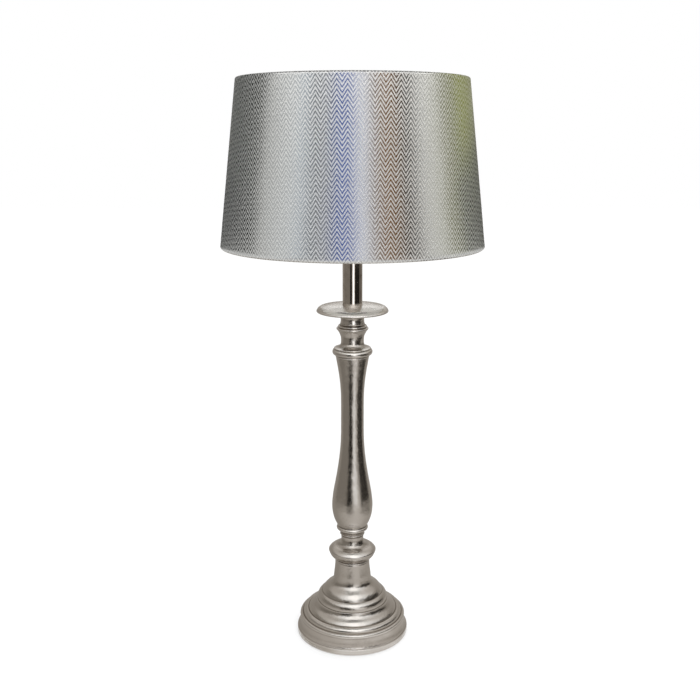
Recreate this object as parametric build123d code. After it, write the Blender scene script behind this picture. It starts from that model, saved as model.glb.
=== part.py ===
from build123d import *
import math
import os

# A tall table lamp shaped like a turned candlestick: cast foot, knops and baluster on one hollow rod,
# a drip dish, a plain candle tube, a switched screw lampholder with its bulb, and a tapered drum shade.
# Millimetres. +Z is up, the origin is on the surface the lamp stands on, and the front is towards -Y.

# Common values
overrun = 1.0            # how far a cutting tool runs past the face it cuts
seat_gap = 0.05          # between pieces that are pushed or screwed together
running_gap = 0.1        # between a piece that turns or slides and what guides it
half = 0.5

# Foot casting. A row for each moulding, from the rim up: radius and height where it ends, as shares of
# the foot's radius and height, and how far it bulges out of a straight line, as a share of its length.
foot_radius = 80.8
foot_height = 110.3
foot_wall = 4.5
foot_chamber_height = 24.0
upright_share = 0.9400
foot_shares = [
    (0.9960, 0.0000, 0.00),   # underside of the rim
    (1.0000, 0.0200, 0.18),   # rounded lower edge
    (1.0000, 0.0580, 0.00),   # lip
    (0.9925, 0.0730, 0.20),   # top of the lip
    (0.9835, 0.0760, 0.00),   # fine groove
    (0.9855, 0.0850, 0.00),
    (0.9430, 0.1600, -0.07),  # hollow of the wall
    (upright_share, 0.2120, 0.00),
    (0.9450, 0.2200, 0.20),
    (0.9200, 0.2560, 0.28),   # outer crest
    (0.9050, 0.2580, 0.00),   # groove between the crests
    (0.8930, 0.2660, -0.20),
    (0.8130, 0.3190, 0.20),   # inner crest
    (0.8020, 0.3165, 0.00),   # line under the slope
    (0.7920, 0.3264, -0.15),
    (0.7160, 0.3740, 0.06),   # outer half of the slope
    (0.6400, 0.4430, -0.10),  # inner half of the slope
    (0.6260, 0.4480, 0.00),   # line under the dome
    (0.6300, 0.4560, 0.00),
    (0.5510, 0.5560, 0.16),   # lower part of the dome
    (0.5460, 0.5570, 0.00),   # line round the dome
    (0.3640, 0.6930, 0.05),   # upper part of the dome
    (0.3540, 0.7120, -0.12),
    (0.3304, 0.8277, -0.02),
    (0.3082, 0.9700, -0.02),  # neck
    (0.3020, 1.0000, 0.10),
]
# Inside of the foot over its chamber, from the rod out
foot_hollow_shares = [
    (0.2700, 0.6200),
    (0.3500, 0.5950),
    (0.4850, 0.4950),
    (0.6300, 0.3550),
    (0.7300, 0.3000),
]

# Felt pad, let into the underside of the foot
pad_inset = 6.8          # from the rim to the felt
pad_thickness = 2.2
pad_proud = 0.7          # how far the felt stands below the metal rim

# Ballast, held up inside the foot by the nut of the rod
ballast_clearance = 6.0  # to the wall of the foot
ballast_thickness = 15.0
ballast_channel_width = 14.0
ballast_pocket_radius = 15.0
ballast_pocket_depth = 11.0

# Hollow rod through the whole stand
rod_radius = 5.0
rod_bore_radius = 3.6
rod_tail = 1.5           # thread left showing under the nut
nut_across_flats = 14.0
nut_height = 5.0
nut_chamfer = 0.8
washer_radius = 11.0
washer_thickness = 1.6
spigot_radius = 9.5      # short register between two castings
spigot_height = 3.0
core_radius = 10.0       # cored hollow inside the castings
core_wall = 9.0          # metal left at each end of a cored casting

# Flex inlet in the back of the foot
inlet_height_share = 0.62   # of the chamber's height
grommet_bore_radius = 3.6
grommet_neck_radius = 5.0
grommet_flange_radius = 6.2
grommet_flange = 1.4
grommet_edge = 0.5

# Lower knop
lower_knop_radius = 33.7
lower_knop_height = 54.5
lower_knop_shares = [
    (0.7300, 0.0000, 0.00),
    (0.7300, 0.0380, 0.45),   # thin rim at the foot
    (0.7150, 0.0480, 0.00),
    (1.0000, 0.2600, 0.12),   # underside of the ball
    (1.0020, 0.3060, 0.16),   # widest part
    (0.7050, 0.4120, 0.12),   # shoulder of the ball
    (0.6850, 0.4170, 0.00),   # line
    (0.5150, 0.5300, -0.15),  # hollow slope
    (0.4790, 0.6450, -0.10),  # throat
    (0.4790, 0.7150, 0.00),
    (0.5050, 0.7300, 0.00),
    (0.5050, 0.7650, 0.45),   # fine ring
    (0.5150, 0.7730, 0.00),
    (0.6030, 0.8620, -0.15),  # hollow under the collar
    (0.6080, 0.8720, 0.00),
    (0.6300, 0.9700, 0.34),   # collar
    (0.6180, 1.0000, 0.00),
]

# Baluster
baluster_radius = 29.0
baluster_height = 250.0
baluster_shares = [
    (0.7350, 0.0000),
    (0.8760, 0.0340),
    (0.9860, 0.0840),
    (0.9790, 0.1700),
    (0.8380, 0.2680),
    (0.6690, 0.3890),
    (0.5720, 0.5090),
    (0.5550, 0.6550),
    (0.5720, 0.8030),
    (0.6660, 0.9080),
    (0.8050, 1.0000),
]

# Upper knop
upper_knop_radius = 28.1
upper_knop_height = 47.0
upper_knop_shares = [
    (0.8220, 0.0000, 0.00),
    (0.8350, 0.0280, 0.30),
    (0.8350, 0.0450, 0.00),   # line under the ring
    (0.9250, 0.2250, 0.36),   # wide ring
    (0.9050, 0.2320, 0.00),
    (0.8800, 0.2680, 0.35),   # fine bead on the ring
    (0.8500, 0.2720, 0.00),
    (0.5660, 0.4400, -0.22),  # hollow
    (0.5660, 0.5600, 0.00),   # throat
    (0.7450, 0.7950, -0.06),  # flare
    (0.7550, 0.8050, 0.00),
    (0.7350, 0.8750, 0.38),   # narrow ring
    (0.7000, 0.8850, 0.00),
    (0.6650, 0.9400, 0.35),   # fine bead on the ring
    (0.6000, 1.0000, -0.10),
]

# Drip dish
dish_radius = 49.8
dish_height = 26.4
dish_shares = [
    (0.3320, 0.0000, 0.00),
    (0.3260, 0.1600, 0.00),   # throat
    (0.4700, 0.4640, -0.22),  # flare
    (0.9400, 0.5920, -0.05),  # underside of the dish
    (0.9980, 0.6450, 0.20),   # rolled edge
    (0.8300, 0.8950, 0.17),   # rounded rim
]
dish_crown_share = 0.03
dish_socket_depth = 2.0

# Candle tube
tube_radius = 13.6
tube_wall = 1.3
tube_length = 79.0
tube_cap_thickness = 2.0
tube_cap_spigot = 4.0
tube_cap_edge = 0.5

# Lampholder. The barrel is the thread that a shade ring screws on, and the rest follows its radius.
barrel_radius = 19.8
barrel_wall = 1.9
barrel_height = 31.5
holder_boss_radius = 8.5
holder_boss_height = 5.5
holder_boss_overlap = 0.5   # thread of the boss left over the end of the rod
holder_step = 0.7           # from the barrel out to the cap
holder_wall = 1.4
holder_dome_height = 4.2
holder_dome_share = 0.16
holder_cap_height = 28.0
holder_rim_height = 5.0     # part of the skirt that sits inside the cap
holder_flange_width = 7.2
holder_flange_thickness = 2.5
core_body_height = 25.0
core_drop = 8.0             # how far the ceramic hangs below the flange
core_floor = 13.0
screw_shell_radius = 14.0
screw_shell_wall = 0.45
screw_shell_rim = 2.5
screw_shell_inset = 3.0     # below the end of the barrel
contact_width = 5.0
contact_thickness = 0.5
contact_reach = 8.0
contact_rise = 3.0
terminal_spacing = 20.0
terminal_head_radius = 2.8
terminal_head_height = 2.0
terminal_shank_radius = 1.5
terminal_shank_length = 7.0
terminal_slot_width = 0.7
terminal_slot_depth = 0.8
grub_screw_radius = 1.5
grub_screw_inset = 0.2

# Push-bar switch
bar_radius = 2.5
bar_travel = 6.0
bar_end_gap = 0.3           # between a tip and its bushing when the bar is pushed home
bar_tip_radius = 3.4
bar_tip_length = 5.0
bar_tip_edge = 0.8
bushing_radius = 3.9
bushing_length = 5.0
bushing_proud = 0.8
switch_block_length = 16.0
switch_block_width = 11.0
switch_block_floor = 2.0    # under the bar
switch_block_corner = 1.5
switch_clearance = 3.9      # from the middle of the bar up to the screw heads

# Bulb. The rows give its radius and height, as shares of its largest radius and its height over the cap.
bulb_length = 106.0
bulb_radius = 30.0
bulb_glass_wall = 0.9
bulb_thread_clearance = 0.45
bulb_cap_height = 22.0
bulb_cap_wall = 0.4
bulb_insulator_height = 4.0
bulb_contact_radius = 4.2
bulb_contact_height = 1.6
bulb_neck_clearance = 0.15
bulb_glass_shares = [
    (0.5050, 0.1000),
    (0.7400, 0.2900),
    (0.9650, 0.5000),
    (0.9800, 0.7200),
    (0.6700, 0.9300),
]

# Shade
shade_bottom_radius = 177.8
shade_top_radius = 152.3
shade_height = 219.5
cover_thickness = 0.6
liner_thickness = 0.6
ring_wire_radius = 1.6
roll_gap = 0.8              # of the rolled edge round its wire
hem_return = 7.0            # fabric turned in over each wire ring
hem_slit_gap = 0.3          # round an arm, in the turned-in fabric
seam_width = 12.0
seam_thickness = 0.4
fitter_recess = 30.7        # from the lower edge of the shade up to the fitter
fitter_slack = 0.4          # of the fitter round the barrel
fitter_width = 9.2
fitter_thickness = 1.6
fitter_gap = 0.15           # slack of the fitter between the flange and the ring that holds it
arm_radius = 1.5
arm_count = 3
arm_start_degrees = 90.0    # the first arm points to the back

# Ring that screws down on the fitter
shade_ring_width = 7.7
shade_ring_flange = 2.2
shade_ring_height = 8.0
shade_ring_hub_width = 3.6
shade_ring_rib_radius = 0.8
shade_ring_rib_count = 18

# Radii that follow from the sizes above
pad_radius = foot_radius - pad_inset
chamber_radius = foot_radius * upright_share - foot_wall
ballast_radius = chamber_radius - ballast_clearance
rod_hole_radius = rod_radius + seat_gap
socket_radius = spigot_radius + seat_gap
tube_bore_radius = tube_radius - tube_wall
holder_radius = barrel_radius + holder_step
holder_inside_radius = holder_radius - holder_wall
barrel_bore_radius = barrel_radius - barrel_wall
core_outside_radius = barrel_bore_radius - seat_gap
screw_shell_bore_radius = screw_shell_radius - screw_shell_wall
bulb_cap_radius = screw_shell_bore_radius - bulb_thread_clearance
bulb_neck_radius = bulb_cap_radius - bulb_cap_wall - bulb_neck_clearance
fitter_bore_radius = barrel_radius + fitter_slack
fitter_radius = barrel_radius + fitter_width
shade_ring_hub_radius = barrel_radius + shade_ring_hub_width
roll_inside_radius = ring_wire_radius + roll_gap
roll_radius = roll_inside_radius + cover_thickness

# Heights that follow from the sizes above
foot_base_z = pad_proud
chamber_top_z = foot_base_z + foot_chamber_height
inlet_z = foot_base_z + foot_chamber_height * inlet_height_share
ballast_z = chamber_top_z - ballast_thickness
washer_z = ballast_z + ballast_pocket_depth - washer_thickness
nut_z = washer_z - nut_height
rod_bottom_z = nut_z - rod_tail
lower_knop_z = foot_base_z + foot_height
baluster_z = lower_knop_z + lower_knop_height
upper_knop_z = baluster_z + baluster_height
dish_z = upper_knop_z + upper_knop_height
dish_top_z = dish_z + dish_height
tube_z = dish_top_z - dish_socket_depth
tube_top_z = tube_z + tube_length
holder_z = tube_top_z + tube_cap_thickness
rod_top_z = holder_z + holder_boss_height - holder_boss_overlap
grub_screw_z = holder_z + (holder_boss_height - holder_wall) * half
flange_z = holder_z + holder_cap_height
barrel_z = flange_z + holder_flange_thickness
barrel_top_z = barrel_z + barrel_height
core_z = flange_z - core_drop
core_floor_z = core_z + core_floor
core_top_z = core_z + core_body_height
bar_z = core_z - terminal_head_height - switch_clearance
switch_block_z = bar_z - bar_radius - switch_block_floor
bulb_z = core_floor_z + contact_rise + contact_thickness + running_gap
bulb_insulator_z = bulb_z + bulb_contact_height
bulb_cap_z = bulb_insulator_z + bulb_insulator_height
bulb_neck_z = bulb_cap_z + bulb_cap_height
bulb_top_z = bulb_z + bulb_length
fitter_z = barrel_z + fitter_gap
shade_ring_z = fitter_z + fitter_thickness + fitter_gap
shade_z = fitter_z - fitter_recess
shade_top_z = shade_z + shade_height

centred = (Align.CENTER, Align.CENTER, Align.CENTER)
standing = (Align.CENTER, Align.CENTER, Align.MIN)


def rod(radius, bottom, top):
    """Upright cylinder on the lamp's axis."""
    return Pos(0, 0, bottom) * Cylinder(radius, top - bottom, align=standing)


def tube(radius, bore, bottom, top):
    """Upright tube on the lamp's axis."""
    return rod(radius, bottom, top) - rod(bore, bottom - overrun, top + overrun)


def along_x(radius, start, end, height):
    """Cylinder along +X over the lamp's axis."""
    lying = Pos(start, 0, height) * Rot(Y=90)
    return lying * Cylinder(radius, end - start, align=standing)


def along_y(radius, start, end, height):
    """Cylinder along +Y over the lamp's axis."""
    lying = Pos(0, start, height) * Rot(X=-90)
    return lying * Cylinder(radius, end - start, align=standing)


def straight(points):
    """Straight edges through the points, in order."""
    return [Line(a, b) for a, b in zip(points, points[1:])]


def bent(start, end, bulge):
    """Edge from start to end that bulges to the right of its way by a share of its length."""
    if bulge == 0:
        return Line(start, end)
    run, rise = end[0] - start[0], end[1] - start[1]
    middle = (start[0] + run * half + rise * bulge, start[1] + rise * half - run * bulge)
    return ThreePointArc(start, middle, end)


def moulded(shares, radius, height, bottom):
    """Edges of a turned outline, from its rows of radius, height and bulge."""
    spots = [(r * radius, bottom + z * height) for r, z, _ in shares]
    bulges = [row[2] for row in shares[1:]]
    return [bent(a, b, bulge) for a, b, bulge in zip(spots, spots[1:], bulges)]


def ends(edges):
    """First and last point of an outline."""
    first, last = edges[0] @ 0, edges[-1] @ 1
    return (first.X, first.Y), (last.X, last.Y)


def spun(edges):
    """Solid of revolution from a closed outline of radius and height."""
    return revolve(Plane.XZ * Face(Wire(edges)), Axis.Z)


def cored(outer, bottom, top):
    """Turned casting with a rod hole, a cored hollow, a spigot below and a socket above."""
    first, last = ends(outer)
    spigot_end = bottom - spigot_height + seat_gap
    inner = [
        last,
        (socket_radius, top),
        (socket_radius, top - spigot_height),
        (rod_hole_radius, top - spigot_height),
        (rod_hole_radius, spigot_end),
        (spigot_radius, spigot_end),
        (spigot_radius, bottom),
        first,
    ]
    core = rod(core_radius, bottom + core_wall, top - spigot_height - core_wall)
    return spun(outer + straight(inner)) - core


# Stand

def base_pad():
    return rod(pad_radius, 0, pad_thickness)


def foot_casting():
    outer = moulded(foot_shares, foot_radius, foot_height, foot_base_z)
    first, last = ends(outer)
    hollow = [(r * foot_radius, foot_base_z + z * foot_height) for r, z in foot_hollow_shares]
    inner = [
        last,
        (socket_radius, lower_knop_z),
        (socket_radius, lower_knop_z - spigot_height),
        (rod_hole_radius, lower_knop_z - spigot_height),
        (rod_hole_radius, hollow[0][1]),
        *hollow,
        (hollow[-1][0], chamber_top_z),
        (chamber_radius, chamber_top_z),
        (chamber_radius, pad_thickness),
        (pad_radius + seat_gap, pad_thickness),
        (pad_radius + seat_gap, foot_base_z),
        first,
    ]
    inlet = along_y(grommet_neck_radius + seat_gap, 0, foot_radius + overrun, inlet_z)
    return spun(outer + straight(inner)) - inlet


def cord_grommet():
    """Bush in the back wall of the foot, with a flange on each side of the wall."""
    inner_end = chamber_radius - grommet_flange
    outer = moulded(foot_shares, foot_radius, foot_height, foot_base_z)
    first, last = ends(outer)
    foot_shape = spun(outer + straight([last, (0, last[1]), (0, first[1]), first]))
    neck = along_y(grommet_neck_radius, inner_end, foot_radius, inlet_z)
    head = along_y(grommet_flange_radius, chamber_radius, foot_radius, inlet_z)
    head = chamfer(head.faces().sort_by(Axis.Y)[-1].edges(), grommet_edge) - foot_shape
    tail = along_y(grommet_flange_radius, inner_end, chamber_radius, inlet_z)
    tail &= rod(chamber_radius, 0, chamber_top_z)
    bore = along_y(grommet_bore_radius, 0, foot_radius + overrun, inlet_z)
    return neck + head + tail - bore


def ballast_weight():
    """Cast disc with a pocket for the nut and a channel for the flex."""
    body = tube(ballast_radius, rod_hole_radius, ballast_z, chamber_top_z)
    pocket = rod(ballast_pocket_radius, ballast_z - overrun, ballast_z + ballast_pocket_depth)
    channel = Pos(0, 0, ballast_z - overrun) * Box(
        ballast_channel_width,
        ballast_radius + overrun,
        ballast_pocket_depth + overrun,
        align=(Align.CENTER, Align.MIN, Align.MIN),
    )
    return body - pocket - channel


def rod_washer():
    return tube(washer_radius, rod_hole_radius, washer_z, washer_z + washer_thickness)


def rod_nut():
    corner = nut_across_flats / math.sqrt(3)
    flats = extrude(RegularPolygon(corner, 6), nut_height)
    crown = rod(corner, 0, nut_height)
    crown = chamfer(crown.edges().filter_by(GeomType.CIRCLE), nut_chamfer)
    hole = rod(rod_hole_radius, -overrun, nut_height + overrun)
    return Pos(0, 0, nut_z) * ((flats & crown) - hole)


def tie_rod():
    return tube(rod_radius, rod_bore_radius, rod_bottom_z, rod_top_z)


def lower_knop():
    outer = moulded(lower_knop_shares, lower_knop_radius, lower_knop_height, lower_knop_z)
    return cored(outer, lower_knop_z, baluster_z)


def baluster():
    spots = [(r * baluster_radius, baluster_z + z * baluster_height) for r, z in baluster_shares]
    return cored([Spline(spots)], baluster_z, upper_knop_z)


def upper_knop():
    outer = moulded(upper_knop_shares, upper_knop_radius, upper_knop_height, upper_knop_z)
    return cored(outer, upper_knop_z, dish_z)


def drip_dish():
    """Solid dish with a slightly crowned top, a spigot below and a seat for the candle tube."""
    outer = moulded(dish_shares, dish_radius, dish_height, dish_z)
    first, rim = ends(outer)
    spigot_end = dish_z - spigot_height + seat_gap
    inner = [
        (tube_radius + seat_gap, dish_top_z),
        (tube_radius + seat_gap, tube_z),
        (rod_hole_radius, tube_z),
        (rod_hole_radius, spigot_end),
        (spigot_radius, spigot_end),
        (spigot_radius, dish_z),
        first,
    ]
    return spun(outer + [bent(rim, inner[0], dish_crown_share)] + straight(inner))


def candle_tube():
    return tube(tube_radius, tube_bore_radius, tube_z, tube_top_z)


def tube_cap():
    """Disc that closes the candle tube and centres the rod in it."""
    plate = rod(tube_radius, tube_top_z, holder_z)
    plate = chamfer(plate.faces().sort_by(Axis.Z)[-1].edges(), tube_cap_edge)
    spigot = rod(tube_bore_radius - seat_gap, tube_top_z - tube_cap_spigot, tube_top_z)
    return plate + spigot - rod(rod_hole_radius, tube_z, holder_z + overrun)


# Lampholder

def holder_cap():
    """Lower half of the housing: threaded boss, dome and straight wall, pierced for the push bar."""
    boss_z = holder_z + holder_boss_height
    wall_z = boss_z + holder_dome_height
    edges = [
        *straight([
            (rod_hole_radius, holder_z),
            (holder_boss_radius, holder_z),
            (holder_boss_radius, boss_z - holder_wall),
        ]),
        bent((holder_boss_radius, boss_z - holder_wall), (holder_radius, wall_z), holder_dome_share),
        *straight([
            (holder_radius, wall_z),
            (holder_radius, flange_z),
            (holder_inside_radius, flange_z),
            (holder_inside_radius, wall_z),
        ]),
        bent((holder_inside_radius, wall_z), (holder_boss_radius, boss_z), -holder_dome_share),
        *straight([
            (holder_boss_radius, boss_z),
            (rod_hole_radius, boss_z),
            (rod_hole_radius, holder_z),
        ]),
    ]
    bar_hole = along_x(bushing_radius + seat_gap, -holder_radius, holder_radius, bar_z)
    grub_hole = along_x(grub_screw_radius + seat_gap, 0, holder_boss_radius, grub_screw_z)
    return spun(edges) - bar_hole - grub_hole


def holder_grub_screw():
    """Slotted screw that stops the lampholder from turning on the rod."""
    end = holder_boss_radius - grub_screw_inset
    slot = Pos(end, 0, grub_screw_z) * Box(
        terminal_slot_depth * 2, grub_screw_radius * 3, terminal_slot_width, align=centred
    )
    return along_x(grub_screw_radius, rod_hole_radius, end, grub_screw_z) - slot


def holder_skirt():
    """Threaded barrel with the flange that the shade stands on and a rim that sits in the cap."""
    flange = rod(barrel_radius + holder_flange_width, flange_z, barrel_z)
    barrel = rod(barrel_radius, flange_z, barrel_top_z)
    barrel = chamfer(barrel.faces().sort_by(Axis.Z)[-1].edges(), barrel_wall * half)
    rim = rod(holder_inside_radius - seat_gap, flange_z - holder_rim_height, flange_z)
    bore = rod(barrel_bore_radius, core_z, barrel_top_z + overrun)
    return flange + barrel + rim - bore


def holder_core():
    """Ceramic insert with the pocket of the screw shell and two terminal holes."""
    body = rod(core_outside_radius, core_z, core_top_z)
    body -= rod(screw_shell_radius + seat_gap, core_floor_z, core_top_z + overrun)
    hole = rod(terminal_shank_radius + seat_gap, core_z - overrun, core_floor_z + overrun)
    for side in (-1, 1):
        body -= Pos(0, side * terminal_spacing * half, 0) * hole
    return body


def terminal_screws():
    """Two slotted screws in the underside of the ceramic."""
    shank = rod(terminal_shank_radius, core_z, core_z + terminal_shank_length)
    head = rod(terminal_head_radius, core_z - terminal_head_height, core_z)
    slot = Pos(0, 0, core_z - terminal_head_height) * Box(
        terminal_head_radius * 3, terminal_slot_width, terminal_slot_depth * 2, align=centred
    )
    screw = shank + head - slot
    return Compound([Pos(0, side * terminal_spacing * half, 0) * screw for side in (-1, 1)])


def screw_shell():
    """Brass sleeve that the bulb screws into, with a narrow rim at its foot."""
    top = barrel_top_z - screw_shell_inset
    sleeve = tube(screw_shell_radius, screw_shell_bore_radius, core_floor_z, top)
    rim_bore = screw_shell_bore_radius - screw_shell_rim
    return sleeve + tube(screw_shell_radius, rim_bore, core_floor_z, core_floor_z + screw_shell_wall)


def centre_contact():
    """Bent leaf spring under the tip of the bulb."""
    high = core_floor_z + contact_rise
    knee = contact_reach * half
    line = [
        (-contact_reach, core_floor_z),
        (-knee, core_floor_z),
        (0, high),
        (knee, high),
        (knee, high + contact_thickness),
        (-contact_thickness * half, high + contact_thickness),
        (-knee - contact_thickness * half, core_floor_z + contact_thickness),
        (-contact_reach, core_floor_z + contact_thickness),
        (-contact_reach, core_floor_z),
    ]
    leaf = Plane.XZ * Face(Wire(straight(line)))
    return extrude(leaf, contact_width * half, both=True)


def switch_block():
    """Moulded switch body under the ceramic, with the push bar through it."""
    height = core_z - switch_block_z
    body = Pos(0, 0, switch_block_z) * Box(
        switch_block_length, switch_block_width, height, align=standing
    )
    body = fillet(body.edges().filter_by(Axis.Z), switch_block_corner)
    return body - along_x(bar_radius + running_gap, -switch_block_length, switch_block_length, bar_z)


def bar_bushings():
    """Two guides of the push bar, one in each side of the cap."""
    outer_end = holder_radius + bushing_proud
    guide = along_x(bushing_radius, outer_end - bushing_length, outer_end, bar_z)
    guide -= along_x(bar_radius + running_gap, 0, outer_end + overrun, bar_z)
    return Compound([Rot(Z=180 * side) * guide for side in (0, 1)])


def push_bar():
    """Switch bar with a rounded tip at each end. At rest it stands out towards -X."""
    right = holder_radius + bushing_proud + bar_end_gap
    left = -right - bar_travel
    bar = along_x(bar_radius, left, right, bar_z)
    for start, face in ((left - bar_tip_length, 0), (right, -1)):
        tip = along_x(bar_tip_radius, start, start + bar_tip_length, bar_z)
        bar += chamfer(tip.faces().sort_by(Axis.X)[face].edges(), bar_tip_edge)
    return bar


# Bulb

def bulb_contact():
    return rod(bulb_contact_radius, bulb_z, bulb_insulator_z)


def bulb_insulator():
    """Glass cone between the tip and the screw cap."""
    narrow = bulb_contact_radius + bulb_contact_height
    cone = Cone(narrow, bulb_cap_radius, bulb_insulator_height, align=standing)
    return Pos(0, 0, bulb_insulator_z) * cone


def bulb_cap():
    return tube(bulb_cap_radius, bulb_cap_radius - bulb_cap_wall, bulb_cap_z, bulb_neck_z)


def bulb_glass():
    """Pear-shaped opal glass with an open neck that stands in the cap."""
    height = bulb_top_z - bulb_neck_z

    def side(wall):
        shoulder = [(r * bulb_radius - wall, bulb_neck_z + z * height) for r, z in bulb_glass_shares]
        return [(bulb_neck_radius - wall, bulb_neck_z), *shoulder, (0, bulb_top_z - wall)]

    bottom = bulb_cap_z + bulb_cap_height * half
    outer, inner = side(0), side(bulb_glass_wall)
    slopes = [(0, 1), (-1, 0)]
    edges = [
        Line((bulb_neck_radius, bottom), outer[0]),
        Spline(outer, tangents=slopes),
        Line(outer[-1], inner[-1]),
        Spline(inner, tangents=slopes),
        Line(inner[0], (inner[0][0], bottom)),
        Line((inner[0][0], bottom), (bulb_neck_radius, bottom)),
    ]
    return spun(edges)


# Shade

def cone_radius(height):
    """Outside radius of the shade at a height over its lower edge."""
    return shade_bottom_radius + (shade_top_radius - shade_bottom_radius) * height / shade_height


def wire_ring(height):
    """Wire ring inside the rolled edge at a height over the lower edge of the shade."""
    return Pos(0, 0, shade_z + height) * Torus(cone_radius(height) - roll_radius, ring_wire_radius)


def bottom_ring():
    return wire_ring(roll_radius)


def top_ring():
    return wire_ring(shade_height - roll_radius)


def arm_line():
    """Ends of an arm's centre line, as radius and height: at the fitter and at the lower ring."""
    ring_radius = cone_radius(roll_radius) - roll_radius
    return (fitter_bore_radius, fitter_z + fitter_thickness * half), (ring_radius, shade_z + roll_radius)


def arm_shape(radius):
    """Straight wire along the arm's centre line, in the XZ plane."""
    inner, outer = arm_line()
    run, drop = outer[0] - inner[0], inner[1] - outer[1]
    lean = math.degrees(math.atan2(drop, run))
    wire = Cylinder(radius, math.hypot(run, drop), align=standing)
    return Pos(inner[0], 0, inner[1]) * Rot(Y=90 + lean) * wire


def around(shape, count, start):
    """Copies of a shape spaced evenly round the axis."""
    return [Rot(Z=start + 360 * n / count) * shape for n in range(count)]


def shade_arms():
    """Three wires from the rim of the fitter down to the lower ring, each cut to meet both."""
    arm = arm_shape(arm_radius) - rod(fitter_radius, shade_z, shade_top_z) - bottom_ring()
    arm = arm.solids().sort_by(SortBy.VOLUME)[-1]
    return Compound(around(arm, arm_count, arm_start_degrees))


def fitter_ring():
    return tube(fitter_radius, fitter_bore_radius, fitter_z, fitter_z + fitter_thickness)


def shade_cover():
    """Fabric cone whose edges roll over the wire rings and turn in, with a lapped seam at the back."""
    lean = (shade_bottom_radius - shade_top_radius) / shade_height
    low, high = roll_radius, shade_height - roll_radius
    low_r, high_r = cone_radius(low) - roll_radius, cone_radius(high) - roll_radius

    def at_low(offset, rise=0):
        return low_r + offset - lean * rise, shade_z + low + rise

    def at_high(offset, fall=0):
        return high_r + offset + lean * fall, shade_z + high - fall

    edges = [
        Line(at_low(roll_radius), at_high(roll_radius)),
        ThreePointArc(at_high(roll_radius), (high_r, shade_top_z), at_high(-roll_radius)),
        *straight([
            at_high(-roll_radius),
            at_high(-roll_radius, hem_return),
            at_high(-roll_inside_radius, hem_return),
            at_high(-roll_inside_radius),
        ]),
        ThreePointArc(at_high(-roll_inside_radius), (high_r, shade_top_z - cover_thickness),
                      at_high(roll_inside_radius)),
        Line(at_high(roll_inside_radius), at_low(roll_inside_radius)),
        ThreePointArc(at_low(roll_inside_radius), (low_r, shade_z + cover_thickness),
                      at_low(-roll_inside_radius)),
        *straight([
            at_low(-roll_inside_radius),
            at_low(-roll_inside_radius, hem_return),
            at_low(-roll_radius, hem_return),
            at_low(-roll_radius),
        ]),
        ThreePointArc(at_low(-roll_radius), (low_r, shade_z), at_low(roll_radius)),
    ]
    slits = around(arm_shape(arm_radius + hem_slit_gap), arm_count, arm_start_degrees)
    return spun(edges) + back_seam() - slits


def back_seam():
    """Strip where the end of the fabric laps over its start."""
    low, high = roll_radius, shade_height - roll_radius
    low_r, high_r = cone_radius(low), cone_radius(high)
    skin = spun(straight([
        (low_r, shade_z + low),
        (low_r + seam_thickness, shade_z + low),
        (high_r + seam_thickness, shade_z + high),
        (high_r, shade_z + high),
        (low_r, shade_z + low),
    ]))
    strip = Pos(0, 0, shade_z) * Box(
        seam_width,
        shade_bottom_radius + seam_thickness + overrun,
        shade_height,
        align=(Align.CENTER, Align.MIN, Align.MIN),
    )
    return skin & strip


def shade_liner():
    """White plastic sheet behind the fabric, between the two wire rings."""
    low = roll_radius * 2 + seat_gap
    high = shade_height - low
    low_r = cone_radius(low) - cover_thickness - seat_gap
    high_r = cone_radius(high) - cover_thickness - seat_gap
    return spun(straight([
        (low_r, shade_z + low),
        (high_r, shade_z + high),
        (high_r - liner_thickness, shade_z + high),
        (low_r - liner_thickness, shade_z + low),
        (low_r, shade_z + low),
    ]))


def shade_ring():
    """Threaded ring with a gripping flange and ribs round its hub."""
    flange_top_z = shade_ring_z + shade_ring_flange
    top = shade_ring_z + shade_ring_height
    body = rod(barrel_radius + shade_ring_width, shade_ring_z, flange_top_z)
    body += rod(shade_ring_hub_radius, shade_ring_z, top)
    rib = Pos(shade_ring_hub_radius, 0, 0) * rod(shade_ring_rib_radius, flange_top_z, top)
    body += around(rib, shade_ring_rib_count, 0)
    return body - rod(barrel_radius + running_gap, flange_z, top + overrun)


pieces = [
    base_pad, foot_casting, cord_grommet, ballast_weight, rod_washer, rod_nut, tie_rod,
    lower_knop, baluster, upper_knop, drip_dish, candle_tube, tube_cap,
    holder_cap, holder_grub_screw, holder_skirt, holder_core, terminal_screws, screw_shell,
    centre_contact, switch_block, bar_bushings, push_bar,
    bulb_contact, bulb_insulator, bulb_cap, bulb_glass,
    shade_cover, shade_liner, bottom_ring, top_ring, shade_arms, fitter_ring, shade_ring,
]

os.makedirs("parts", exist_ok=True)
for piece in pieces:
    export_step(piece(), f"parts/{piece.__name__}.step")
print("shade from", round(shade_z, 1), "to", round(shade_top_z, 1), "mm")
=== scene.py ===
import math

import bpy
import numpy as np
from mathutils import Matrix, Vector


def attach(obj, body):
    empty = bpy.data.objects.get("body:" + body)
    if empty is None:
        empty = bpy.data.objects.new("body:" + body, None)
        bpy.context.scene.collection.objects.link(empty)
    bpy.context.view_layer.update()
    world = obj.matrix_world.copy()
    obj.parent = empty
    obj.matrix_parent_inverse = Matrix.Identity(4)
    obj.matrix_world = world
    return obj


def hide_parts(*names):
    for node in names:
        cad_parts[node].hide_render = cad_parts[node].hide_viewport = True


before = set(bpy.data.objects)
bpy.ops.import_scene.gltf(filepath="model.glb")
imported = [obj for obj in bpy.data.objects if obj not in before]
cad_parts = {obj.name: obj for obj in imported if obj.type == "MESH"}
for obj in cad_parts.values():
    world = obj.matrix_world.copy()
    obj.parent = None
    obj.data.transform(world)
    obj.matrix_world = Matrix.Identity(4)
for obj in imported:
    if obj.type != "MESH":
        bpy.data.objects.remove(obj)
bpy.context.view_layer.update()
scene = bpy.context.scene
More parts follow.
